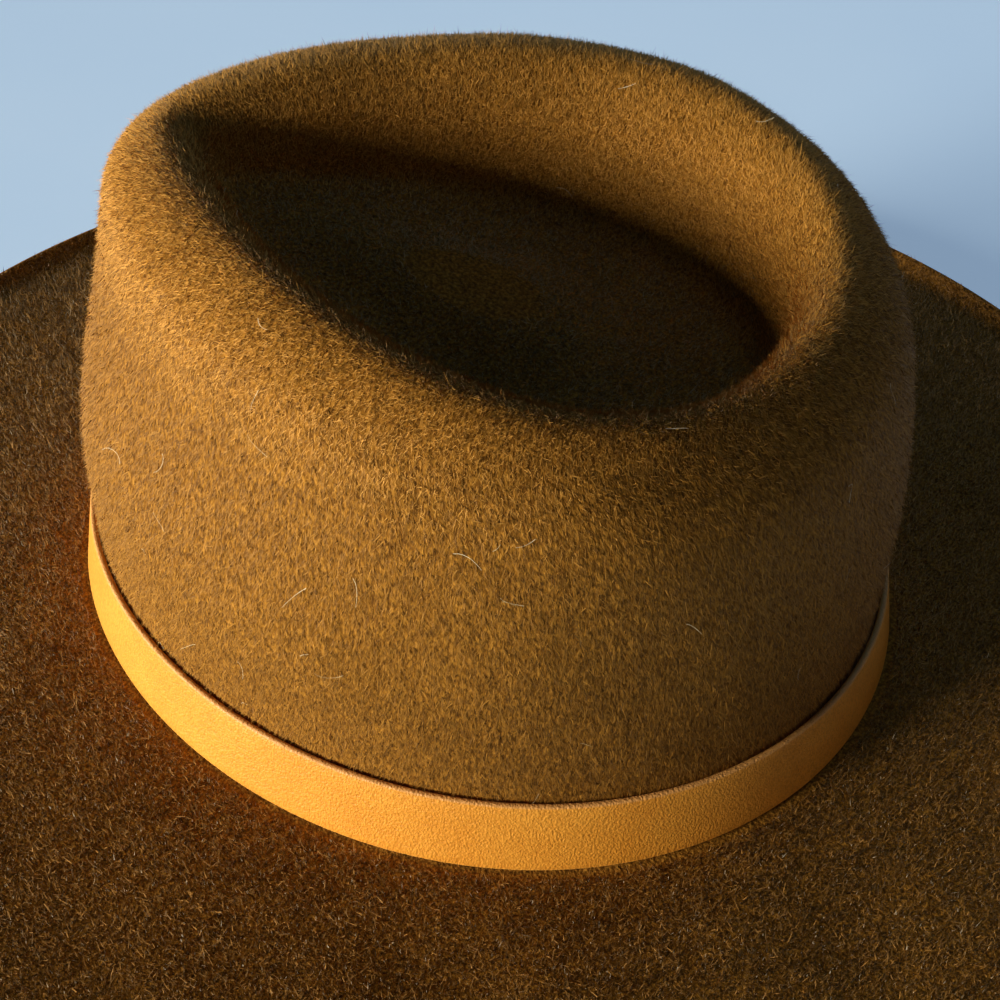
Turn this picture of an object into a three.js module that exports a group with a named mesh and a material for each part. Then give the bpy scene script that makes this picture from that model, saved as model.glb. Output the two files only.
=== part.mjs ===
import * as THREE from 'three';

// A felt hat with a stiff flat brim, a teardrop dent in the crown and a plain leather band.
// Lengths are in millimetres. The front of the hat is -Y and its top is +Z.
// The hat rests on the flat underside of its brim at height zero.

// Felt sheet
const felt_thickness = 2.5;
const cut_edge_bulge = 0.4;

// Points round each section
const section_points = 80;

// Leather band
const band_thickness = 1.6;
const band_corner = 0.3;
const foot_gap = 0.35;
const top_gap = 0.85;
const band_foot = { half_length: 104.0, half_width: 90.0, shift: 0, taper: 0.27, tip: 0.5, height: 3.0 };
const band_top = { half_length: 101.2, half_width: 85.4, shift: 0, taper: 0.27, tip: 0.5, height: 20.0 };

// Bend from the brim up into the crown, hidden by the band
const foot_radius = 1.0;
const foot_angles = [0, 45, 90];

// Sections of the brim's upper face, from its cut edge in to the crown
const brim_sections = [
  { name: 'edge', half_length: 186.8, half_width: 180.0, taper: 0.1, tip: 0.5, height: 6.3 },
  { name: 'curl_high', half_length: 185.2, half_width: 178.4, taper: 0.1, tip: 0.5, height: 4.6 },
  { name: 'curl_low', half_length: 183.0, half_width: 176.2, taper: 0.1, tip: 0.5, height: 3.2 },
  { name: 'curl_foot', half_length: 180.0, half_width: 173.2, taper: 0.1, tip: 0.5, height: 2.5 },
  { name: 'brim_outer', half_length: 155.0, half_width: 145.5, taper: 0.16, tip: 0.5, height: 2.5 },
  { name: 'brim_inner', half_length: 129.0, half_width: 117.0, taper: 0.22, tip: 0.5, height: 2.5 },
];

// Sections of the crown's outer face, from the band's top edge up over the roll and down into the dent
// rise lifts the back and lowers the front, and sag lifts both ends against the sides
// steps is the number of rows of faces from each section to the next
const crown_sections = [
  {
    name: 'belly', half_length: 97, half_width: 86.3, shift: 1.7, taper: 0.21, tip: 0.5,
    height: 60, rise: -0.2, sag: -0.8, steps: 3,
  },
  {
    name: 'shoulder', half_length: 90.9, half_width: 81.2, shift: 1.1, taper: 0.84, tip: 0.5,
    height: 95.4, rise: 1.4, sag: -2.8, steps: 3,
  },
  {
    name: 'brow', half_length: 82.4, half_width: 74.5, shift: -1.3, taper: 0.75, tip: 0.4,
    height: 111.1, rise: -4.3, sag: -2.1, steps: 2,
  },
  {
    name: 'crest', half_length: 75.8, half_width: 62.4, shift: 1.7, taper: 0.88, tip: 0.1,
    height: 117.7, rise: -6.3, sag: -5.6, steps: 2,
  },
  {
    name: 'lip', half_length: 70.8, half_width: 52.8, shift: 3.6, taper: 0.81, tip: 0.06,
    height: 110.6, rise: -4.8, sag: -0.9, steps: 2,
  },
  {
    name: 'dent_wall', half_length: 67.2, half_width: 46.1, shift: 2.4, taper: 0.87, tip: 0.05,
    height: 97.4, rise: -4.6, sag: 7.6, steps: 2,
  },
  {
    name: 'crease', half_length: 61, half_width: 39.4, shift: 0.8, taper: 0.7, tip: 0.04,
    height: 88.4, rise: -11.4, sag: 3, steps: 2,
  },
  {
    name: 'floor', half_length: 44.1, half_width: 24.9, shift: -2.5, taper: 0.79, tip: 0.1,
    height: 86, rise: -9.5, sag: 2.6, steps: 2,
  },
  {
    name: 'floor_middle', half_length: 15.8, half_width: 9.1, shift: -1.9, taper: 0.4, tip: 0.3,
    height: 90.9, rise: -3.3, sag: 0.3, steps: 1,
  },
];
const floor_centre = { shift: -1.6, height: 91.2 };

// Colours
const felt_colour = 0x6b4a22;
const leather_colour = 0xd08a3a;

// Point of a section at a turn that starts at the front and goes by the wearer's left
// taper narrows the front, and tip rounds it: a large taper with a small tip is a teardrop
function section_point(section, turn) {
  const power = section.taper / 2;
  const reach = 1 + 2 * section.tip;
  const width_at = (lengthwise) => Math.sqrt(1 - lengthwise ** 2) * (reach - lengthwise) ** power;
  const widest = (reach - Math.sqrt(reach ** 2 + 4 * power * (1 + power))) / (2 * (1 + power));
  const lengthwise = Math.cos(turn);
  const across = Math.sign(Math.sin(turn)) * width_at(lengthwise) / width_at(widest);
  const lift = (section.sag ?? 0) * lengthwise ** 2 - (section.rise ?? 0) * lengthwise;
  return new THREE.Vector3(
    section.half_width * across,
    (section.shift ?? 0) - section.half_length * lengthwise,
    section.height + lift,
  );
}

function section_ring(section) {
  const ring = [];
  for (let index = 0; index < section_points; index += 1) {
    ring.push(section_point(section, 2 * Math.PI * index / section_points));
  }
  return ring;
}

// Section at a height within the band, set in from the band's outer face by a depth
function inside_band(height, depth) {
  const share = (height - band_foot.height) / (band_top.height - band_foot.height);
  const between = (low, high) => low + (high - low) * share;
  return {
    half_length: between(band_foot.half_length, band_top.half_length) - depth,
    half_width: between(band_foot.half_width, band_top.half_width) - depth,
    shift: band_foot.shift,
    taper: band_foot.taper,
    tip: band_foot.tip,
    height,
  };
}

// Section of the crown's wall behind the band, standing out by a little in the bend at its foot
function wall_section(height, outward) {
  const share = (height - band_foot.height) / (band_top.height - band_foot.height);
  const gap = foot_gap + (top_gap - foot_gap) * share;
  return inside_band(height, band_thickness + gap - outward);
}

// Point of a smooth curve between the two middle ones of four points, bent least where they are close
function curve_point(points, share) {
  const [before, start, end, after] = points;
  const gap_before = Math.sqrt(start.distanceTo(before));
  const gap = Math.sqrt(end.distanceTo(start));
  const gap_after = Math.sqrt(after.distanceTo(end));
  const slope = (near, far, near_gap, far_gap, chord) => {
    const side = near.clone().divideScalar(near_gap);
    return side.sub(far.clone().divideScalar(near_gap + far_gap)).multiplyScalar(gap).add(chord);
  };
  const chord = end.clone().sub(start);
  const leaving = slope(
    start.clone().sub(before), end.clone().sub(before), gap_before, gap, chord,
  );
  const arriving = slope(
    after.clone().sub(end), after.clone().sub(start), gap_after, gap, chord,
  );
  const square = share ** 2;
  const cube = share ** 3;
  return start.clone().multiplyScalar(2 * cube - 3 * square + 1)
    .addScaledVector(leaving, cube - 2 * square + share)
    .addScaledVector(end, 3 * square - 2 * cube)
    .addScaledVector(arriving, cube - square);
}

// Ring past the end of a row of rings, in line with the last two
function ring_beyond(end_ring, next_ring) {
  return end_ring.map((point, index) => point.clone().multiplyScalar(2).sub(next_ring[index]));
}

// Rings of the crown with the smooth rows between its sections
function smooth_rings(sections) {
  const rings = sections.map(section_ring);
  const last = rings.length - 1;
  const padded = [ring_beyond(rings[0], rings[1]), ...rings, ring_beyond(rings[last], rings[last - 1])];
  const smooth = [];
  for (let span = 0; span < last; span += 1) {
    const four = padded.slice(span, span + 4);
    for (let step = 0; step < sections[span].steps; step += 1) {
      const share = step / sections[span].steps;
      smooth.push(rings[span].map((_, index) => curve_point(four.map((ring) => ring[index]), share)));
    }
  }
  smooth.push(rings[last]);
  return smooth;
}

// Rings of the bend between the brim and the crown
function foot_rings() {
  const upper_face = felt_thickness;
  return foot_angles.map((degrees) => {
    const angle = THREE.MathUtils.degToRad(degrees);
    const height = upper_face + foot_radius * (1 - Math.cos(angle));
    const outward = foot_radius * (1 - Math.sin(angle));
    return section_ring(wall_section(height, outward));
  });
}

// Direction out of a face of rings at one of its points
function face_normal(rings, row, index, centre) {
  const ring = rings[row];
  const around = ring[(index + 1) % section_points].clone()
    .sub(ring[(index + section_points - 1) % section_points]);
  const next = row + 1 < rings.length ? rings[row + 1][index] : centre;
  const previous = row > 0 ? rings[row - 1][index] : ring[index];
  return around.cross(next.clone().sub(previous)).normalize();
}

function add_quads(faces, first_row, second_row) {
  for (let index = 0; index < section_points; index += 1) {
    const next = (index + 1) % section_points;
    faces.push(first_row + index, first_row + next, second_row + next);
    faces.push(first_row + index, second_row + next, second_row + index);
  }
}

function solid_mesh(name, points, faces, colour, roughness) {
  const geometry = new THREE.BufferGeometry();
  geometry.setAttribute('position', new THREE.Float32BufferAttribute(points.flatMap((p) => p.toArray()), 3));
  geometry.setIndex(faces);
  geometry.computeVertexNormals();
  const material = new THREE.MeshStandardMaterial({ color: colour, roughness, metalness: 0 });
  const mesh = new THREE.Mesh(geometry, material);
  mesh.name = name;
  return mesh;
}

// Felt body: brim and crown in one sheet of even thickness, hollow below
function felt_body() {
  const crown_foot = { ...wall_section(band_top.height, 0), steps: 3 };
  const upper = [
    ...brim_sections.map(section_ring),
    ...foot_rings(),
    ...smooth_rings([crown_foot, ...crown_sections]),
  ];
  const centre = new THREE.Vector3(0, floor_centre.shift, floor_centre.height);
  const lower = upper.map((ring, row) => ring.map((point, index) => (
    point.clone().addScaledVector(face_normal(upper, row, index, centre), -felt_thickness)
  )));
  const lower_centre = centre.clone();
  lower_centre.z -= felt_thickness;
  const cut_edge = upper[0].map((point, index) => {
    const middle = point.clone().add(lower[0][index]).divideScalar(2);
    const outward = new THREE.Vector3(point.x, point.y, 0).normalize();
    return middle.addScaledVector(outward, cut_edge_bulge);
  });
  const rings = [...lower.reverse(), cut_edge, ...upper];
  const points = [lower_centre, ...rings.flat(), centre];
  const faces = [];
  for (let row = 0; row < rings.length - 1; row += 1) {
    add_quads(faces, 1 + row * section_points, 1 + (row + 1) * section_points);
  }
  const last_row = 1 + (rings.length - 1) * section_points;
  for (let index = 0; index < section_points; index += 1) {
    const next = (index + 1) % section_points;
    faces.push(0, 1 + next, 1 + index);
    faces.push(last_row + index, last_row + next, points.length - 1);
  }
  return solid_mesh('felt_body', points, faces, felt_colour, 0.95);
}

// Leather band: one flat strap round the foot of the crown
function hat_band() {
  const low = band_foot.height;
  const high = band_top.height;
  const inner = band_thickness;
  const outline = [
    { name: 'foot_outer', height: low, depth: band_corner },
    { name: 'face_low', height: low + band_corner, depth: 0 },
    { name: 'face_high', height: high - band_corner, depth: 0 },
    { name: 'top_outer', height: high, depth: band_corner },
    { name: 'top_inner', height: high, depth: inner - band_corner },
    { name: 'back_high', height: high - band_corner, depth: inner },
    { name: 'back_low', height: low + band_corner, depth: inner },
    { name: 'foot_inner', height: low, depth: inner - band_corner },
  ];
  const rings = outline.map((corner) => section_ring(inside_band(corner.height, corner.depth)));
  const faces = [];
  for (let row = 0; row < rings.length; row += 1) {
    add_quads(faces, row * section_points, (row + 1) % rings.length * section_points);
  }
  return solid_mesh('hat_band', rings.flat(), faces, leather_colour, 0.55);
}

const hat = new THREE.Group();
hat.name = 'hat';
hat.add(felt_body(), hat_band());

export default hat;
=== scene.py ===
import bpy
import math
import numpy as np
from mathutils import Matrix, Vector


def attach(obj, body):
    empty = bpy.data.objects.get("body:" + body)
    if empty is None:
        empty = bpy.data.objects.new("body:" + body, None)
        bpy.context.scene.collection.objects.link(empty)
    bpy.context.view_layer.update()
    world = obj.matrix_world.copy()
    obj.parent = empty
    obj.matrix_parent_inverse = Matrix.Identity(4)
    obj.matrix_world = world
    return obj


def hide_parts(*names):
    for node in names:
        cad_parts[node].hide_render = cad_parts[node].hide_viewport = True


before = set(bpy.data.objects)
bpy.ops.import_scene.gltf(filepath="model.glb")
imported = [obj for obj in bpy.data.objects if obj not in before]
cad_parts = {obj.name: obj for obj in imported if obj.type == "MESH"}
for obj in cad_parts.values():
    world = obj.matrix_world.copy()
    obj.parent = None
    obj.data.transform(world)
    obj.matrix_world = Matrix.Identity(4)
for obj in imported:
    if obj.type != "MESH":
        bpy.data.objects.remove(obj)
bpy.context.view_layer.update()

# A felt hat with a stiff flat brim, a teardrop dent in the crown and a plain leather band.
# Shapes are in millimetres. The front of the hat is -Y and its top is +Z.
MM = 0.001

# The sheet of felt with the bend at the crown's foot, and the strap with its gaps to the crown
FELT = 2.5
FOOT_RADIUS = 1.0
STRAP = 1.6
STRAP_CORNER = 0.45
FOOT_GAP = 0.35
TOP_GAP = 0.85

# The brim's edge turns up, and its cut face bulges a little
CURL_WIDTH = 6.8
CURL_HEIGHT = 3.8
CURL_POWER = 2.2
CUT_EDGE_BULGE = 0.4

# How finely the faces are divided, round the hat and then from the brim's edge inward
TURNS = 420
CURL_ROWS = 8
BRIM_STEPS = 10
FOOT_DEGREES = (0, 22, 45, 67)
WALL_STEPS = 4
CROWN_STEPS = 9
LOWER_ROW_STEP = 3
CUT_EDGE_SHARES = (0.15, 0.35, 0.65, 0.85)
STRAP_CORNER_DEGREES = (0, 30, 60, 90)
STRAP_FACE_STEPS = 9
LEAST_GAP = 1e-6
LEAST_LENGTH = 1e-9

# Unevenness of the blocked felt, which fades out at the brim's edge and where the band sits
SEED = 11
BROAD_HEIGHT, BROAD_WAVE = 0.28, 46
FINE_HEIGHT, FINE_WAVE = 0.10, 17
WAVES = 14
WAVE_RANGE = (0.7, 1.6)
WAVE_PEAK = 1.6
CALM_EDGE_ROWS = 8
CALM_OVAL = (95, 109)
CALM_OVAL_BLEND = 0.12
CALM_HEIGHT, CALM_HEIGHT_BLEND = 22, 12

# Places for the baked materials, and the scale and the start of the felt's brushed direction
BAKE_EDGE = 0.02
BAKE_SPAN = 0.96
LAY_RADIUS = 90.0
BRUSH_START_ROWS = 2

# Sections are egg shaped ovals. A taper narrows the front end, and a small tip makes it more pointed.
# A shift moves the oval to the back, a rise lifts its back end above its front, and a sag lifts both ends.
# BAND_FOOT and BAND_TOP lie on the strap's outer face, and the others on the felt's upper and outer face.
BAND_FOOT = dict(half_length=104.0, half_width=90.0, shift=0, taper=0.27, tip=0.5, height=3.0)
BAND_TOP = dict(half_length=101.2, half_width=85.4, shift=0, taper=0.27, tip=0.5, height=20.0)
BRIM_SECTIONS = [
    dict(half_length=186.8, half_width=180.0, taper=0.1, tip=0.5, height=FELT),
    dict(half_length=155.0, half_width=145.5, taper=0.16, tip=0.5, height=FELT),
    dict(half_length=129.0, half_width=117.0, taper=0.22, tip=0.5, height=FELT),
]
CROWN_COLUMNS = ("name", "half_length", "half_width", "shift", "taper", "tip", "height", "rise", "sag")
CROWN_SECTIONS = [
    dict(zip(CROWN_COLUMNS, row))
    for row in (
        ("belly", 97, 86.3, 1.7, 0.21, 0.5, 60, -0.2, -0.8),
        ("shoulder", 90.9, 81.2, 1.1, 0.84, 0.5, 95.4, 1.4, -2.8),
        ("brow", 82.4, 74.5, -1.3, 0.75, 0.4, 111.1, -4.3, -2.1),
        ("crest", 75.8, 62.4, 1.7, 0.88, 0.1, 117.7, -6.3, -5.6),
        ("lip", 70.8, 52.8, 3.6, 0.81, 0.06, 110.6, -4.8, -0.9),
        ("dent_wall", 67.2, 46.1, 2.4, 0.87, 0.05, 97.4, -4.6, 7.6),
        ("crease", 61, 39.4, 0.8, 0.7, 0.04, 88.4, -11.4, 3),
        ("floor", 44.1, 24.9, -2.5, 0.79, 0.1, 86, -9.5, 2.6),
        ("floor_middle", 15.8, 9.1, -1.9, 0.4, 0.3, 90.9, -3.3, 0.3),
    )
]
FLOOR_CENTRE = dict(shift=-1.6, height=91.2)


# The felt's and the strap's form
def section_ring(section, turns):
    """Points of an egg shaped oval, wider to the back by its taper and lifted by its rise and sag."""
    power = section["taper"] / 2
    reach = 1 + 2 * section["tip"]

    def width_at(lengthwise):
        return np.sqrt(np.maximum(1 - lengthwise**2, 0)) * (reach - lengthwise) ** power

    widest = (reach - math.sqrt(reach**2 + 4 * power * (1 + power))) / (2 * (1 + power))
    lengthwise = np.cos(turns)
    across = np.sign(np.sin(turns)) * width_at(lengthwise) / width_at(widest)
    lift = section.get("sag", 0) * lengthwise**2 - section.get("rise", 0) * lengthwise
    x = section["half_width"] * across
    y = section.get("shift", 0) - section["half_length"] * lengthwise
    return np.stack([x, y, section["height"] + lift], 1)


def moved_in(section, depth):
    return dict(section, half_length=section["half_length"] - depth, half_width=section["half_width"] - depth)


def band_share(height):
    """How far up the strap a height lies, 0 at its foot and 1 at its top."""
    return (height - BAND_FOOT["height"]) / (BAND_TOP["height"] - BAND_FOOT["height"])


def inside_band(height, depth):
    """Section of the strap's outer face at a height, moved in by a depth."""
    share = band_share(height)
    section = {key: BAND_FOOT[key] + (BAND_TOP[key] - BAND_FOOT[key]) * share for key in BAND_FOOT}
    return moved_in(section, depth)


def wall_section(height, outward=0.0):
    """Section of the crown's wall behind the strap, standing out by a little in the bend at its foot."""
    return inside_band(height, STRAP + FOOT_GAP + (TOP_GAP - FOOT_GAP) * band_share(height) - outward)


def root_gaps(start, end):
    """Square roots of the ways between two rings' points, which keep the curve from overshooting."""
    return np.sqrt(np.linalg.norm(end - start, axis=1))[:, None] + LEAST_GAP


def smooth_rows(rings, steps):
    """Rows of a smooth curve through the rings, the last ring included."""
    padded = [2 * rings[0] - rings[1], *rings, 2 * rings[-1] - rings[-2]]
    rows = []
    for span in range(len(rings) - 1):
        before, start, end, after = padded[span : span + 4]
        g0, g1, g2 = root_gaps(before, start), root_gaps(start, end), root_gaps(end, after)
        leaving = end - start + g1 * ((start - before) / g0 - (end - before) / (g0 + g1))
        arriving = end - start + g1 * ((after - end) / g2 - (after - start) / (g1 + g2))
        for step in range(steps):
            u = step / steps
            rows.append(
                (2 * u**3 - 3 * u**2 + 1) * start
                + (u**3 - 2 * u**2 + u) * leaving
                + (3 * u**2 - 2 * u**3) * end
                + (u**3 - u**2) * arriving
            )
    rows.append(rings[-1])
    return rows


def straight_rows(rings, steps):
    """Rows between the rings along straight lines, the last ring left out."""
    rows = []
    for start, end in zip(rings[:-1], rings[1:]):
        rows += [start + (end - start) * step / steps for step in range(steps)]
    return rows


def upper_rows(turns):
    """The felt's upper and outer face from the brim's cut edge to the middle of the dent."""
    edge = BRIM_SECTIONS[0]
    rows = []
    for depth in np.linspace(0, CURL_WIDTH, CURL_ROWS + 1)[:-1]:
        curl = moved_in(edge, depth)
        curl["height"] = FELT + CURL_HEIGHT * (1 - depth / CURL_WIDTH) ** CURL_POWER
        rows.append(section_ring(curl, turns))
    flat_sections = [moved_in(edge, CURL_WIDTH), *BRIM_SECTIONS[1:], wall_section(FELT, FOOT_RADIUS)]
    rows += straight_rows([section_ring(section, turns) for section in flat_sections], BRIM_STEPS)
    for angle in map(math.radians, FOOT_DEGREES):
        height = FELT + FOOT_RADIUS * (1 - math.cos(angle))
        outward = FOOT_RADIUS * (1 - math.sin(angle))
        rows.append(section_ring(wall_section(height, outward), turns))
    wall_foot = section_ring(wall_section(FELT + FOOT_RADIUS), turns)
    crown_foot = section_ring(wall_section(BAND_TOP["height"]), turns)
    rows += straight_rows([wall_foot, crown_foot], WALL_STEPS)
    band_row = len(rows)
    crown_rings = [crown_foot] + [section_ring(section, turns) for section in CROWN_SECTIONS]
    rows += smooth_rows(crown_rings, CROWN_STEPS)
    return np.array(rows), band_row


def unit(vectors):
    return vectors / np.maximum(np.linalg.norm(vectors, axis=-1, keepdims=True), LEAST_LENGTH)


def row_normals(rows, centre):
    """Unit normals of a grid of rows that run round the hat, its last row next to the centre."""
    around = np.roll(rows, -1, axis=1) - np.roll(rows, 1, axis=1)
    beyond = np.concatenate([rows[1:], np.broadcast_to(centre, rows[:1].shape)])
    behind = np.concatenate([rows[:1], rows[:-1]])
    return unit(np.cross(around, beyond - behind))


def wander(points, wavelength, seed):
    """A smooth random height from -1 to 1 or so over points in millimetres."""
    rng = np.random.default_rng(seed)
    total = np.zeros(points.shape[:-1])
    for _ in range(WAVES):
        way = rng.normal(size=3)
        way *= 2 * math.pi / (wavelength * rng.uniform(*WAVE_RANGE) * np.linalg.norm(way))
        total += np.sin(points @ way + rng.uniform(0, 2 * math.pi))
    return total / math.sqrt(WAVES / 2) / WAVE_PEAK


def make_mesh(name, points, faces, bake_map):
    """An object from points in millimetres and faces of one size, with a bake place for each corner."""
    faces = np.asarray(faces, np.int32)
    mesh = bpy.data.meshes.new(name)
    mesh.vertices.add(len(points))
    mesh.vertices.foreach_set("co", (np.asarray(points, np.float32) * MM).ravel())
    mesh.loops.add(faces.size)
    mesh.loops.foreach_set("vertex_index", faces.ravel())
    mesh.polygons.add(len(faces))
    mesh.polygons.foreach_set("loop_start", np.arange(0, faces.size, faces.shape[1], dtype=np.int32))
    mesh.update(calc_edges=True)
    mesh.polygons.foreach_set("use_smooth", np.full(len(faces), True))
    layer = mesh.uv_layers.new(name="OFBake")
    layer.uv.foreach_set("vector", np.asarray(bake_map, np.float32).ravel())
    piece = bpy.data.objects.new(name, mesh)
    bpy.context.scene.collection.objects.link(piece)
    return piece


def set_points(piece, name, kind, values):
    """A value for each point of the mesh, for the materials to read."""
    attribute = piece.data.attributes.new(name, kind, "POINT")
    field = "vector" if kind == "FLOAT_VECTOR" else "value"
    attribute.data.foreach_set(field, np.asarray(values, np.float32).ravel())


def grid_faces(ring_count, first_point):
    """Quads of a grid of rings and the same quads' places in the bake, which don't wrap round."""
    ring, turn = np.meshgrid(np.arange(ring_count - 1), np.arange(TURNS), indexing="ij")
    ring, turn = ring.ravel(), turn.ravel()
    after = (turn + 1) % TURNS
    low, high = first_point + ring * TURNS, first_point + (ring + 1) * TURNS
    quads = np.stack([low + turn, low + after, high + after, high + turn], 1)
    u = np.stack([turn, turn + 1, turn + 1, turn], 1) / TURNS
    v = np.stack([ring, ring, ring + 1, ring + 1], 1)
    return quads, u, v


turns = np.linspace(0, 2 * math.pi, TURNS, endpoint=False)
upper, band_row = upper_rows(turns)
brow_row, lip_row, crease_row = (
    band_row + (1 + [section["name"] for section in CROWN_SECTIONS].index(name)) * CROWN_STEPS
    for name in ("brow", "lip", "crease")
)
row_index = np.arange(len(upper))
centre = np.array([0, FLOOR_CENTRE["shift"], FLOOR_CENTRE["height"]])
normals = row_normals(upper, centre)

# Slight unevenness of blocked felt
edge_clear = np.clip(row_index / CALM_EDGE_ROWS, 0, 1)[:, None]
past_oval = np.linalg.norm(upper[:, :, :2] / CALM_OVAL, axis=2) - 1
brim_clear = np.clip(past_oval / CALM_OVAL_BLEND, 0, 1)
crown_clear = np.clip((upper[:, :, 2] - CALM_HEIGHT) / CALM_HEIGHT_BLEND, 0, 1)
on_crown = (row_index >= band_row)[:, None]
clear = np.where(on_crown, crown_clear, brim_clear * edge_clear)
broad = BROAD_HEIGHT * wander(upper, BROAD_WAVE, SEED)
fine = FINE_HEIGHT * wander(upper, FINE_WAVE, SEED + 1)
upper = upper + normals * ((broad + fine) * clear)[:, :, None]
normals = row_normals(upper, centre)

# How far up the meridian each point lies, and how strongly the fur there is brushed along the meridian. Where
# it is not brushed, on the brim and in the dent, the felt also gets a little painted shade.
steps_up = np.linalg.norm(np.diff(upper, axis=0), axis=2)
meridian = np.concatenate([np.zeros((1, TURNS)), np.cumsum(steps_up, axis=0)])
above_band = np.clip((row_index - band_row) / BRUSH_START_ROWS + 1, 0, 1)
before_crease = np.clip((crease_row - row_index) / (crease_row - lip_row), 0, 1)
brushed = above_band * before_crease


def felt_piece():
    """The closed sheet of felt: inner and lower face, cut edge, then the upper and outer face."""
    lower = upper - normals * FELT
    lower[:, :, 2] = np.maximum(lower[:, :, 2], 0)
    keep = sorted({*range(0, len(lower), LOWER_ROW_STEP), len(lower) - 1})[::-1]
    outward = unit(upper[0] * [1, 1, 0])
    cut = []
    for share in CUT_EDGE_SHARES:
        bulge = CUT_EDGE_BULGE * 4 * share * (1 - share)
        cut.append(lower[0] + (upper[0] - lower[0]) * share + outward * bulge)
    rings = np.concatenate([lower[keep], np.array(cut), upper])
    points = np.concatenate([[centre - [0, 0, FELT]], rings.reshape(-1, 3), [centre]])

    quads, u, v = grid_faces(len(rings), 1)
    turn = np.arange(TURNS)
    after = (turn + 1) % TURNS
    last = 1 + (len(rings) - 1) * TURNS
    low_fan = np.stack([np.zeros(TURNS, int), 1 + after, 1 + turn], 1)
    top_fan = np.stack([last + turn, last + after, np.full(TURNS, len(points) - 1)], 1)
    triangles = np.concatenate([quads[:, [0, 1, 2]], quads[:, [0, 2, 3]], low_fan, top_fan])

    def fan_map(columns, heights):
        return np.stack([np.stack(columns, 1) / TURNS, np.tile(heights, (TURNS, 1))], 2)

    ways = np.concatenate([[0], np.cumsum(np.linalg.norm(np.diff(rings[:, 0], axis=0), axis=1))])
    grid_map = np.stack([u, BAKE_EDGE + BAKE_SPAN * (ways / ways[-1])[v]], 2)
    low_map = fan_map([turn + 0.5, turn + 1, turn], [0, BAKE_EDGE, BAKE_EDGE])
    top_map = fan_map([turn, turn + 1, turn + 0.5], [1 - BAKE_EDGE, 1 - BAKE_EDGE, 1])
    bake_map = np.concatenate([grid_map[:, [0, 1, 2]], grid_map[:, [0, 2, 3]], low_map, top_map])
    piece = make_mesh("felt", points, triangles, bake_map)

    way_up = meridian[np.concatenate([keep, np.zeros(len(cut), int), row_index])]
    round_x = np.broadcast_to(np.sin(turns) * LAY_RADIUS, way_up.shape)
    round_y = np.broadcast_to(-np.cos(turns) * LAY_RADIUS, way_up.shape)
    lay = np.stack([round_x, round_y, way_up], 2).reshape(-1, 3) * MM
    set_points(piece, "lay", "FLOAT_VECTOR", np.concatenate([lay[:1], lay, lay[-1:]]))
    fur = np.concatenate([np.zeros(len(keep) + len(cut)), brushed])
    set_points(piece, "brushed", "FLOAT", np.concatenate([[0], np.repeat(fur, TURNS), [0]]))
    return piece


def strap_piece():
    """The strap's outline runs up its outer face with rounded edges and down its inner face."""
    low, high = BAND_FOOT["height"], BAND_TOP["height"]
    corner = STRAP_CORNER
    angles = np.radians(STRAP_CORNER_DEGREES)
    bend = [(corner * (1 - math.sin(angle)), corner * (1 - math.cos(angle))) for angle in angles]
    lower_edge = [(low + rise, depth) for rise, depth in bend[::-1]]
    upper_edge = [(high - rise, depth) for rise, depth in bend]
    face_shares = np.linspace(0, 1, STRAP_FACE_STEPS + 1)[1:-1]
    face = [(low + corner + (high - low - 2 * corner) * share, 0) for share in face_shares]
    back = [(high, STRAP - corner), (high - corner, STRAP), (low + corner, STRAP), (low, STRAP - corner)]
    outline = lower_edge + face + upper_edge + back
    outline.append(outline[0])
    rings = [section_ring(inside_band(height, depth), turns) for height, depth in outline]

    quads, u, v = grid_faces(len(rings), 0)
    bake_map = np.stack([u, BAKE_EDGE + BAKE_SPAN * v / (len(rings) - 1)], 2)
    first_again = (len(rings) - 1) * TURNS
    closed = np.where(quads >= first_again, quads - first_again, quads)
    piece = make_mesh("strap", np.concatenate(rings[:-1]), closed, bake_map)

    fade = [1, 1, 0.6, 0]
    cut_edge = fade + [0] * len(face) + fade[::-1] + [1, 0, 0, 1]
    set_points(piece, "cut_edge", "FLOAT", np.repeat(cut_edge, TURNS))
    return piece


# Nap: short loose fibres on the felt's faces
LENGTH_SPREAD = 0.35
TILT_SPREAD = 0.3
TILT_RANGE = (0.05, 1.45)
SPIN = 1.0
WIDTH_RANGE = (0.6, 1.2)
ROOT_DEPTH = 0.05
FIBRE_BAKE_CORNERS = ((0.15, 0.15), (0.85, 0.15), (0.5, 0.85))

# Lint: long loose hairs
LINT_LIFT = 0.5
LINT_BEND = 1.1
LINT_LINKS = 6
LINT_TAPER = 0.6
LINT_ARCH = 0.35
LINT_BAKE_START, LINT_BAKE_WIDTH = 0.2, 0.6


def grid_areas(rows):
    a = rows[:-1]
    b = np.roll(rows, -1, axis=1)[:-1]
    c = np.roll(rows, -1, axis=1)[1:]
    d = rows[1:]
    return np.linalg.norm(np.cross(c - a, d - b), axis=2) / 2


def scatter(rng, first, last, fades, count):
    """Random places on the upper face between two rows, rarer over some rows at each end."""
    rows, norms = upper[first:last], normals[first:last]
    row_number = np.arange(len(rows) - 1)
    fade_in = np.clip((row_number + 1) / (fades[0] + 1), 0, 1)
    fade_out = np.clip((len(rows) - 1 - row_number) / (fades[1] + 1), 0, 1)
    areas = grid_areas(rows) * (fade_in * fade_out)[:, None]
    chosen = rng.choice(areas.size, count, p=areas.ravel() / areas.sum())
    row, turn = np.divmod(chosen, TURNS)
    u, v = rng.random((2, count, 1))
    after = (turn + 1) % TURNS

    def mix(grid):
        low = grid[row, turn] * (1 - u) + grid[row, after] * u
        high = grid[row + 1, turn] * (1 - u) + grid[row + 1, after] * u
        return low * (1 - v) + high * v

    place = mix(rows)
    normal = unit(mix(norms))
    way = rows[row + 1, turn] - rows[row, turn]
    way -= normal * np.sum(way * normal, axis=1, keepdims=True)
    return place, normal, unit(way)


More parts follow.
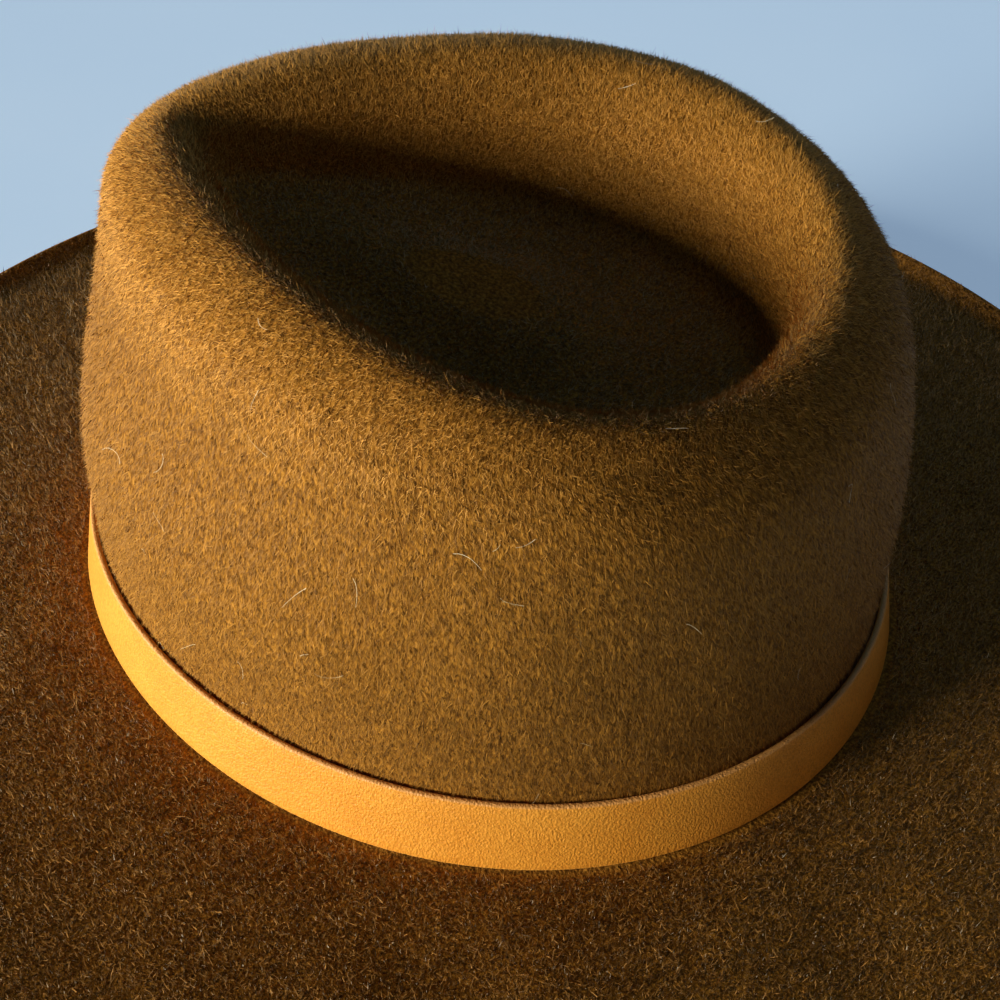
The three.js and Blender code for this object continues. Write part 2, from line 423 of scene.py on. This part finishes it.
def random_lengths(rng, length, count):
    return length * np.exp(rng.normal(0, LENGTH_SPREAD, (count, 1)))


def nap_piece(name, seed, first, last, fades, count, length, width, lean, spread, ruffle):
    """Tapered fibres that point down the meridian, turned by a random spread and leaning off the face."""
    rng = np.random.default_rng(seed)
    place, normal, way = scatter(rng, first, last, fades, count)
    side = np.cross(normal, way)
    heading = rng.normal(math.pi, spread, (count, 1))
    tilt = np.clip(rng.normal(lean, TILT_SPREAD, (count, 1)), *TILT_RANGE)
    along = (way * np.cos(heading) + side * np.sin(heading)) * np.cos(tilt) + normal * np.sin(tilt)
    spin = rng.uniform(-SPIN, SPIN, (count, 1))
    flat_side = unit(np.cross(along, normal))
    wide = flat_side * np.cos(spin) + np.cross(along, flat_side) * np.sin(spin)
    long = random_lengths(rng, length, count)
    thick = width * rng.uniform(*WIDTH_RANGE, (count, 1))
    root = place - normal * ROOT_DEPTH
    points = np.stack([root - wide * thick / 2, root + wide * thick / 2, root + along * long], 1)
    cells = math.ceil(math.sqrt(count))
    cell_row, cell_column = np.divmod(np.arange(count), cells)
    bake_map = (np.stack([cell_column, cell_row], 1)[:, None] + np.array(FIBRE_BAKE_CORNERS)) / cells
    piece = make_mesh(name, points.reshape(-1, 3), np.arange(3 * count).reshape(-1, 3), bake_map)
    set_points(piece, "shade", "FLOAT", np.repeat(rng.random(count), 3))
    turned = unit(normal + ruffle * rng.normal(size=(count, 3)))
    piece.data.normals_split_custom_set_from_vertices(np.repeat(turned, 3, axis=0).tolist())
    return piece


def lint_piece(name, seed, first, last, count, length, width):
    """A few long curved hairs that lie loose on the felt, each a narrow ribbon."""
    rng = np.random.default_rng(seed)
    place, normal, way = scatter(rng, first, last, (0, 0), count)
    side = np.cross(normal, way)
    heading = rng.uniform(0, 2 * math.pi, (count, 1))
    bend = rng.normal(0, LINT_BEND, (count, 1))
    long = random_lengths(rng, length, count)
    spot = place + normal * LINT_LIFT
    rows = []
    for link in range(LINT_LINKS + 1):
        share = link / LINT_LINKS
        turn = heading + bend * share
        along = way * np.cos(turn) + side * np.sin(turn)
        across = unit(np.cross(along, normal))
        thin = width * (1 - LINT_TAPER * share) / 2
        rows += [spot - across * thin, spot + across * thin]
        spot = spot + (along + normal * LINT_ARCH * math.sin(math.pi * share)) * long / LINT_LINKS
    points = np.stack(rows, 1)
    strip = np.array([[2 * k, 2 * k + 1, 2 * k + 3, 2 * k + 2] for k in range(LINT_LINKS)])
    cell = np.arange(count)[:, None, None]
    faces = strip[None] + cell * len(rows)
    u = (cell + LINT_BAKE_START + LINT_BAKE_WIDTH * (strip % 2)) / count
    v = strip // 2 / LINT_LINKS
    bake_map = np.stack([np.broadcast_to(u, faces.shape), np.broadcast_to(v, faces.shape)], 3)
    piece = make_mesh(name, points.reshape(-1, 3), faces.reshape(-1, 4), bake_map)
    set_points(piece, "shade", "FLOAT", np.repeat(rng.random(count), len(rows)))
    return piece


# Materials. A Mix node has sockets for each kind of data, told apart only by their numbers.
MIX_FACTOR = 0
MIX_FLOAT_A, MIX_FLOAT_B, MIX_FLOAT_RESULT = 2, 3, 0
MIX_COLOUR_A, MIX_COLOUR_B, MIX_COLOUR_RESULT = 6, 7, 2
EVEN = (1, 1, 1)
WHITE = (1.0, 1.0, 1.0)

FELT_DARK = (0.120, 0.043, 0.003)
FELT_MID = (0.285, 0.114, 0.010)
FELT_LIGHT = (0.560, 0.250, 0.030)
FELT_PATCH = (0.86, 0.84, 0.82)
# Painted shade: felt that isn't brushed, on the brim and in the dent, is made a little darker
FELT_PAINTED_SHADE = (0.95, 0.96, 1.0)
SHEEN_TINT = (0.9, 0.8, 0.6)
LEATHER_DEEP = (0.89, 0.345, 0.032)
LEATHER_PALE = (0.96, 0.410, 0.046)
LEATHER_PORE = (0.84, 0.78, 0.66)
LEATHER_CUT = (0.80, 0.37, 0.10)
LEATHER_GRAIN = 1900
FLOOR_BLUE = (0.55, 0.72, 0.93)
FLOOR_PALE = (0.60, 0.76, 0.95)

# Painted light: the floor's glow stands in for light falling on the floor beyond the hat. It grows along the
# way that the camera looks, from a place on the camera's side of the hat.
GLOW_NEAR = (0.20, 0.28, 0.38)
GLOW_FAR = (0.54, 0.74, 1.0)
GLOW_START = (0.47, 0.17, 0)
GLOW_WAY = math.radians(199.6)
GLOW_REACH = 0.55
GLOW_STRENGTH = 0.34


def new_material(name, roughness, specular=None):
    material = bpy.data.materials.new(name)
    material.use_nodes = True
    tree = material.node_tree
    tree.nodes.clear()
    output = tree.nodes.new("ShaderNodeOutputMaterial")
    shader = tree.nodes.new("ShaderNodeBsdfPrincipled")
    tree.links.new(shader.outputs["BSDF"], output.inputs["Surface"])
    shader.inputs["Roughness"].default_value = roughness
    if specular is not None:
        shader.inputs["Specular IOR Level"].default_value = specular
    return material, tree, shader


def attribute_of(tree, name, output):
    node = tree.nodes.new("ShaderNodeAttribute")
    node.attribute_name = name
    return node.outputs[output]


def object_place(tree):
    return tree.nodes.new("ShaderNodeTexCoord").outputs["Object"]


def noise_at(tree, place, stretch, scale, detail, roughness):
    mapping = tree.nodes.new("ShaderNodeMapping")
    mapping.inputs["Scale"].default_value = stretch
    noise = tree.nodes.new("ShaderNodeTexNoise")
    noise.inputs["Scale"].default_value = scale
    noise.inputs["Detail"].default_value = detail
    noise.inputs["Roughness"].default_value = roughness
    tree.links.new(place, mapping.inputs["Vector"])
    tree.links.new(mapping.outputs["Vector"], noise.inputs["Vector"])
    return noise.outputs["Fac"]


def ramp_of(tree, value, stops):
    """Colours over a value, from stops of a position and a colour."""
    ramp = tree.nodes.new("ShaderNodeValToRGB")
    elements = ramp.color_ramp.elements
    elements[0].position, elements[1].position = stops[0][0], stops[-1][0]
    elements[0].color, elements[1].color = (*stops[0][1], 1), (*stops[-1][1], 1)
    for position, colour in stops[1:-1]:
        elements.new(position).color = (*colour, 1)
    tree.links.new(value, ramp.inputs["Fac"])
    return ramp.outputs["Color"]


def multiplied(tree, first, second):
    mix = tree.nodes.new("ShaderNodeMix")
    mix.data_type = "RGBA"
    mix.blend_type = "MULTIPLY"
    mix.inputs[MIX_FACTOR].default_value = 1
    tree.links.new(first, mix.inputs[MIX_COLOUR_A])
    tree.links.new(second, mix.inputs[MIX_COLOUR_B])
    return mix.outputs[MIX_COLOUR_RESULT]


def towards(tree, share, first, colour):
    """A colour that goes over from the first to a fixed one by a share."""
    mix = tree.nodes.new("ShaderNodeMix")
    mix.data_type = "RGBA"
    mix.inputs[MIX_COLOUR_B].default_value = (*colour, 1)
    tree.links.new(share, mix.inputs[MIX_FACTOR])
    tree.links.new(first, mix.inputs[MIX_COLOUR_A])
    return mix.outputs[MIX_COLOUR_RESULT]


def blended(tree, share, first, second):
    mix = tree.nodes.new("ShaderNodeMix")
    mix.data_type = "FLOAT"
    tree.links.new(share, mix.inputs[MIX_FACTOR])
    tree.links.new(first, mix.inputs[MIX_FLOAT_A])
    tree.links.new(second, mix.inputs[MIX_FLOAT_B])
    return mix.outputs[MIX_FLOAT_RESULT]


def bump_of(tree, shader, layers):
    """Bumps one on another, from layers of a value, a strength and a depth in metres."""
    last = None
    for value, strength, distance in layers:
        bump = tree.nodes.new("ShaderNodeBump")
        bump.inputs["Strength"].default_value = strength
        bump.inputs["Distance"].default_value = distance
        tree.links.new(value, bump.inputs["Height"])
        if last is not None:
            tree.links.new(last, bump.inputs["Normal"])
        last = bump.outputs["Normal"]
    tree.links.new(last, shader.inputs["Normal"])


def soften(shader, weight, roughness):
    """The pale glow of loose fibres seen along the surface."""
    shader.inputs["Sheen Weight"].default_value = weight
    shader.inputs["Sheen Roughness"].default_value = roughness
    shader.inputs["Sheen Tint"].default_value = (*SHEEN_TINT, 1)


def felt_material():
    material, tree, shader = new_material("felt_nap", roughness=0.8, specular=0.12)
    place = object_place(tree)
    lay = attribute_of(tree, "lay", "Vector")
    brushed_share = attribute_of(tree, "brushed", "Fac")
    strands = noise_at(tree, lay, stretch=(1, 1, 0.38), scale=1500, detail=2, roughness=0.6)
    tangle = noise_at(tree, place, stretch=EVEN, scale=1300, detail=2, roughness=0.6)
    fibres = blended(tree, brushed_share, tangle, strands)
    clumps = noise_at(tree, place, stretch=(1, 1, 0.7), scale=420, detail=2, roughness=0.5)
    patches = noise_at(tree, place, stretch=EVEN, scale=60, detail=4, roughness=0.6)
    colour = ramp_of(tree, fibres, [(0.30, FELT_DARK), (0.5, FELT_MID), (0.70, FELT_LIGHT)])
    tone = ramp_of(tree, patches, [(0.3, FELT_PATCH), (0.7, WHITE)])
    # Painted shade: the unbrushed brim and dent are a little darker
    unbrushed_painted_shade = ramp_of(tree, brushed_share, [(0.0, FELT_PAINTED_SHADE), (1.0, WHITE)])
    toned = multiplied(tree, multiplied(tree, colour, tone), unbrushed_painted_shade)
    tree.links.new(toned, shader.inputs["Base Color"])
    soften(shader, weight=0.12, roughness=0.35)
    bump_of(tree, shader, [(clumps, 0.6, 0.0006), (fibres, 1.0, 0.0005)])
    return material


def fibre_material(name, dark, light, sheen):
    """Fibres between a dark and a light colour, by the shade that each was given."""
    material, tree, shader = new_material(name, roughness=0.65, specular=0.25)
    colour = ramp_of(tree, attribute_of(tree, "shade", "Fac"), [(0.0, dark), (1.0, light)])
    tree.links.new(colour, shader.inputs["Base Color"])
    soften(shader, weight=sheen, roughness=0.5)
    return material


def leather_material():
    material, tree, shader = new_material("strap_leather", roughness=0.5, specular=0.5)
    place = object_place(tree)
    patches = noise_at(tree, place, stretch=EVEN, scale=45, detail=4, roughness=0.6)
    grain = noise_at(tree, place, stretch=(1, 1, 0.6), scale=LEATHER_GRAIN, detail=1, roughness=0.5)
    pebbles = tree.nodes.new("ShaderNodeTexVoronoi")
    pebbles.inputs["Scale"].default_value = LEATHER_GRAIN
    tree.links.new(place, pebbles.inputs["Vector"])
    colour = ramp_of(tree, patches, [(0.3, LEATHER_DEEP), (0.7, LEATHER_PALE)])
    fine = ramp_of(tree, grain, [(0.35, LEATHER_PORE), (0.6, WHITE)])
    face = multiplied(tree, colour, fine)
    cut_share = attribute_of(tree, "cut_edge", "Fac")
    tree.links.new(towards(tree, cut_share, face, LEATHER_CUT), shader.inputs["Base Color"])
    bump_of(tree, shader, [(pebbles.outputs["Distance"], 0.8, 0.00015), (grain, 0.8, 0.00015)])
    return material


def floor_material():
    """Plain pale blue paint with painted light: a glow, a little of it everywhere and more beyond the hat."""
    material, tree, shader = new_material("floor_paint_and_painted_glow", roughness=0.8)
    tone = noise_at(tree, object_place(tree), stretch=EVEN, scale=9, detail=3, roughness=0.5)
    tree.links.new(ramp_of(tree, tone, [(0.3, FLOOR_BLUE), (0.7, FLOOR_PALE)]), shader.inputs["Base Color"])
    turned_place = tree.nodes.new("ShaderNodeMapping")
    turned_place.vector_type = "TEXTURE"
    turned_place.inputs["Rotation"].default_value = (0, 0, GLOW_WAY)
    turned_place.inputs["Location"].default_value = GLOW_START
    gradient = tree.nodes.new("ShaderNodeTexGradient")
    tree.links.new(object_place(tree), turned_place.inputs["Vector"])
    tree.links.new(turned_place.outputs["Vector"], gradient.inputs["Vector"])
    # Painted light: the floor emits a glow that rises away from the camera's side of the hat
    glow = ramp_of(tree, gradient.outputs["Fac"], [(0.0, GLOW_NEAR), (GLOW_REACH, GLOW_FAR)])
    tree.links.new(glow, shader.inputs["Emission Color"])
    shader.inputs["Emission Strength"].default_value = GLOW_STRENGTH
    return material


# Pieces
felt = felt_piece()
felt.data.materials.append(felt_material())
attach(felt, "root")
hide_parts("felt_body")

strap = strap_piece()
strap.data.materials.append(leather_material())
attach(strap, "root")
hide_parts("hat_band")

wall_fibres = fibre_material("wall_fibres", (0.16, 0.061, 0.004), (0.50, 0.223, 0.027), sheen=0.05)
# Painted light: the roll's fibres are a lit copy of the wall's, much lighter, for the grazing light that the
# top of the crown catches
roll_fibres_painted_light = fibre_material("roll_fibres_painted_light", (0.46, 0.200, 0.020), (0.76, 0.365, 0.065), sheen=0.10)
# Painted light: the brim's fibres are a little lighter than the wall's, to make up for the low light that
# grazes the brim
flat_fibres_painted_light = fibre_material("flat_fibres_painted_light", (0.17, 0.072, 0.010), (0.56, 0.260, 0.050), sheen=0.35)
# Painted reflection: the dent's fibres are greyer and cooler than the rest, standing in for pale sky light in
# the shaded dent
dent_fibres_painted_sky = fibre_material("dent_fibres_painted_sky", (0.14, 0.070, 0.020), (0.46, 0.250, 0.085), sheen=0.6)
lint_fibres = fibre_material("lint_fibres", (0.50, 0.34, 0.14), (0.90, 0.78, 0.55), sheen=0.10)

WALL_NAP = dict(count=112000, length=1.3, width=0.22, lean=0.40, spread=0.45, ruffle=0.22)
ROLL_NAP = dict(count=190000, length=1.1, width=0.18, lean=0.65, spread=0.7, ruffle=0.25)
DENT_NAP = dict(count=25000, length=1.0, width=0.22, lean=0.6, spread=1.5, ruffle=0.2)
BRIM_NAP = dict(count=120000, length=1.3, width=0.22, lean=1.0, spread=1.6, ruffle=0.30)

# Zones of nap, each from a first row to a last one. The roll's zone overlaps the wall's at the brow and
# the dent's at the crease, and the nap of both thins out there. The brim's ends at the crown's foot.
BROW_BELOW, BROW_ABOVE, BROW_FADE = 9, 5, 14
CREASE_OVERLAP, CREASE_FADE = 5, 9
foot_row = band_row - WALL_STEPS - len(FOOT_DEGREES)
wall_zone = dict(first=band_row, last=brow_row + BROW_ABOVE, fades=(0, BROW_FADE))
roll_zone = dict(
    first=brow_row - BROW_BELOW, last=crease_row + CREASE_OVERLAP, fades=(BROW_FADE, CREASE_FADE)
)
dent_zone = dict(first=crease_row - CREASE_OVERLAP, last=len(upper), fades=(CREASE_FADE, 0))
brim_zone = dict(first=0, last=foot_row, fades=(0, 0))
for name, fibres, seed, zone, nap in (
    ("nap_wall_a", wall_fibres, 1, wall_zone, WALL_NAP),
    ("nap_wall_b", wall_fibres, 2, wall_zone, WALL_NAP),
    ("nap_roll", roll_fibres_painted_light, 3, roll_zone, ROLL_NAP),
    ("nap_floor", dent_fibres_painted_sky, 4, dent_zone, DENT_NAP),
    ("nap_brim_a", flat_fibres_painted_light, 5, brim_zone, BRIM_NAP),
    ("nap_brim_b", flat_fibres_painted_light, 6, brim_zone, BRIM_NAP),
    ("nap_brim_c", flat_fibres_painted_light, 8, brim_zone, BRIM_NAP),
):
    piece = nap_piece(name, seed, **zone, **nap)
    piece.data.materials.append(fibres)
    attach(piece, "root")

lint = lint_piece("lint", seed=7, first=band_row, last=crease_row, count=70, length=4.5, width=0.13)
lint.data.materials.append(lint_fibres)
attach(lint, "root")

# Floor, a hair below the felt so that their faces don't coincide
FLOOR_SIZE = 60
FLOOR_DROP = 0.0003
bpy.ops.mesh.primitive_plane_add(size=FLOOR_SIZE, location=(0, 0, -FLOOR_DROP))
floor = bpy.context.object
floor.name = "floor"
floor.data.materials.append(floor_material())

# Camera at the photograph's angle
ELEVATION, AZIMUTH, ROLL = math.radians(43.94), math.radians(109.586), math.radians(0.882)
DISTANCE = 400.082 * MM
TARGET = Vector((18.385, 11.464, 50.0)) * MM
SENSOR = 36
LENS_TO_SENSOR = 1.746069
SHIFT_UP = -0.0144
NEAREST = 0.01


def compass(azimuth, elevation):
    """Way out from the hat, its azimuth 0 to the front and a quarter turn to the wearer's left."""
    level = math.cos(elevation)
    return Vector((math.sin(azimuth) * level, -math.cos(azimuth) * level, math.sin(elevation)))


def camera_view():
    """The camera's place and turn."""
    back = compass(AZIMUTH, ELEVATION)
    right = Vector((math.cos(AZIMUTH), math.sin(AZIMUTH), 0))
    up = back.cross(right)
    rolled_right = right * math.cos(ROLL) + up * math.sin(ROLL)
    rolled_up = up * math.cos(ROLL) - right * math.sin(ROLL)
    turned = Matrix((rolled_right, rolled_up, back)).transposed().to_4x4()
    return Matrix.Translation(TARGET + back * DISTANCE) @ turned


camera_data = bpy.data.cameras.new("camera")
camera_data.sensor_fit = "HORIZONTAL"
camera_data.sensor_width = SENSOR
camera_data.lens = SENSOR * LENS_TO_SENSOR
camera_data.shift_y = SHIFT_UP
camera_data.clip_start = NEAREST
camera = bpy.data.objects.new("camera", camera_data)
bpy.context.scene.collection.objects.link(camera)
camera.matrix_world = camera_view()
bpy.context.scene.camera = camera

# Lights that point at the middle of the hat, with angles in degrees, sizes in metres and power in watts
LIT_POINT = Vector((0, 0, 0.06))
SUNNY, PALE, WARM, SKY = (1.0, 0.95, 0.80), (0.78, 0.90, 1.0), (1.0, 0.74, 0.60), (0.25, 0.60, 1.0)
NARROW, OPEN = 30, 180
WORLD_COLOUR = (0.45, 0.75, 1.0)
WORLD_STRENGTH = 0.03


def area_light(name, azimuth, elevation, distance, wide, high, spread, power, colour):
    way = compass(math.radians(azimuth), math.radians(elevation))
    data = bpy.data.lights.new(name, "AREA")
    data.shape = "RECTANGLE"
    data.size = wide
    data.size_y = high
    data.spread = math.radians(spread)
    data.energy = power
    data.color = colour
    light = bpy.data.objects.new(name, data)
    light.location = LIT_POINT + way * distance
    light.rotation_euler = (-way).to_track_quat("-Z", "Y").to_euler()
    bpy.context.scene.collection.objects.link(light)


area_light("key", 32, 8, 4.0, 1.0, 0.75, NARROW, 3.3, SUNNY)
area_light("key_low", 10, 4, 4.0, 1.0, 0.35, NARROW, 1.9, SUNNY)
area_light("side", 50, 14, 4.0, 1.25, 0.75, NARROW, 5.4, SUNNY)
area_light("edge", 75, 9, 4.0, 1.25, 0.75, NARROW, 0.35, SUNNY)
area_light("rear", 290, 25, 1.6, 0.5, 0.4, OPEN, 1.3, PALE)
area_light("rear_high", 250, 58, 1.4, 0.4, 0.4, OPEN, 1.2, SKY)
area_light("right", 175, 14, 1.6, 0.4, 0.4, OPEN, 0.8, WARM)

world = bpy.data.worlds.new("studio")
world.use_nodes = True
background = world.node_tree.nodes["Background"]
background.inputs["Color"].default_value = (*WORLD_COLOUR, 1)
background.inputs["Strength"].default_value = WORLD_STRENGTH
bpy.context.scene.world = world
bpy.context.scene.view_settings.view_transform = "Standard"
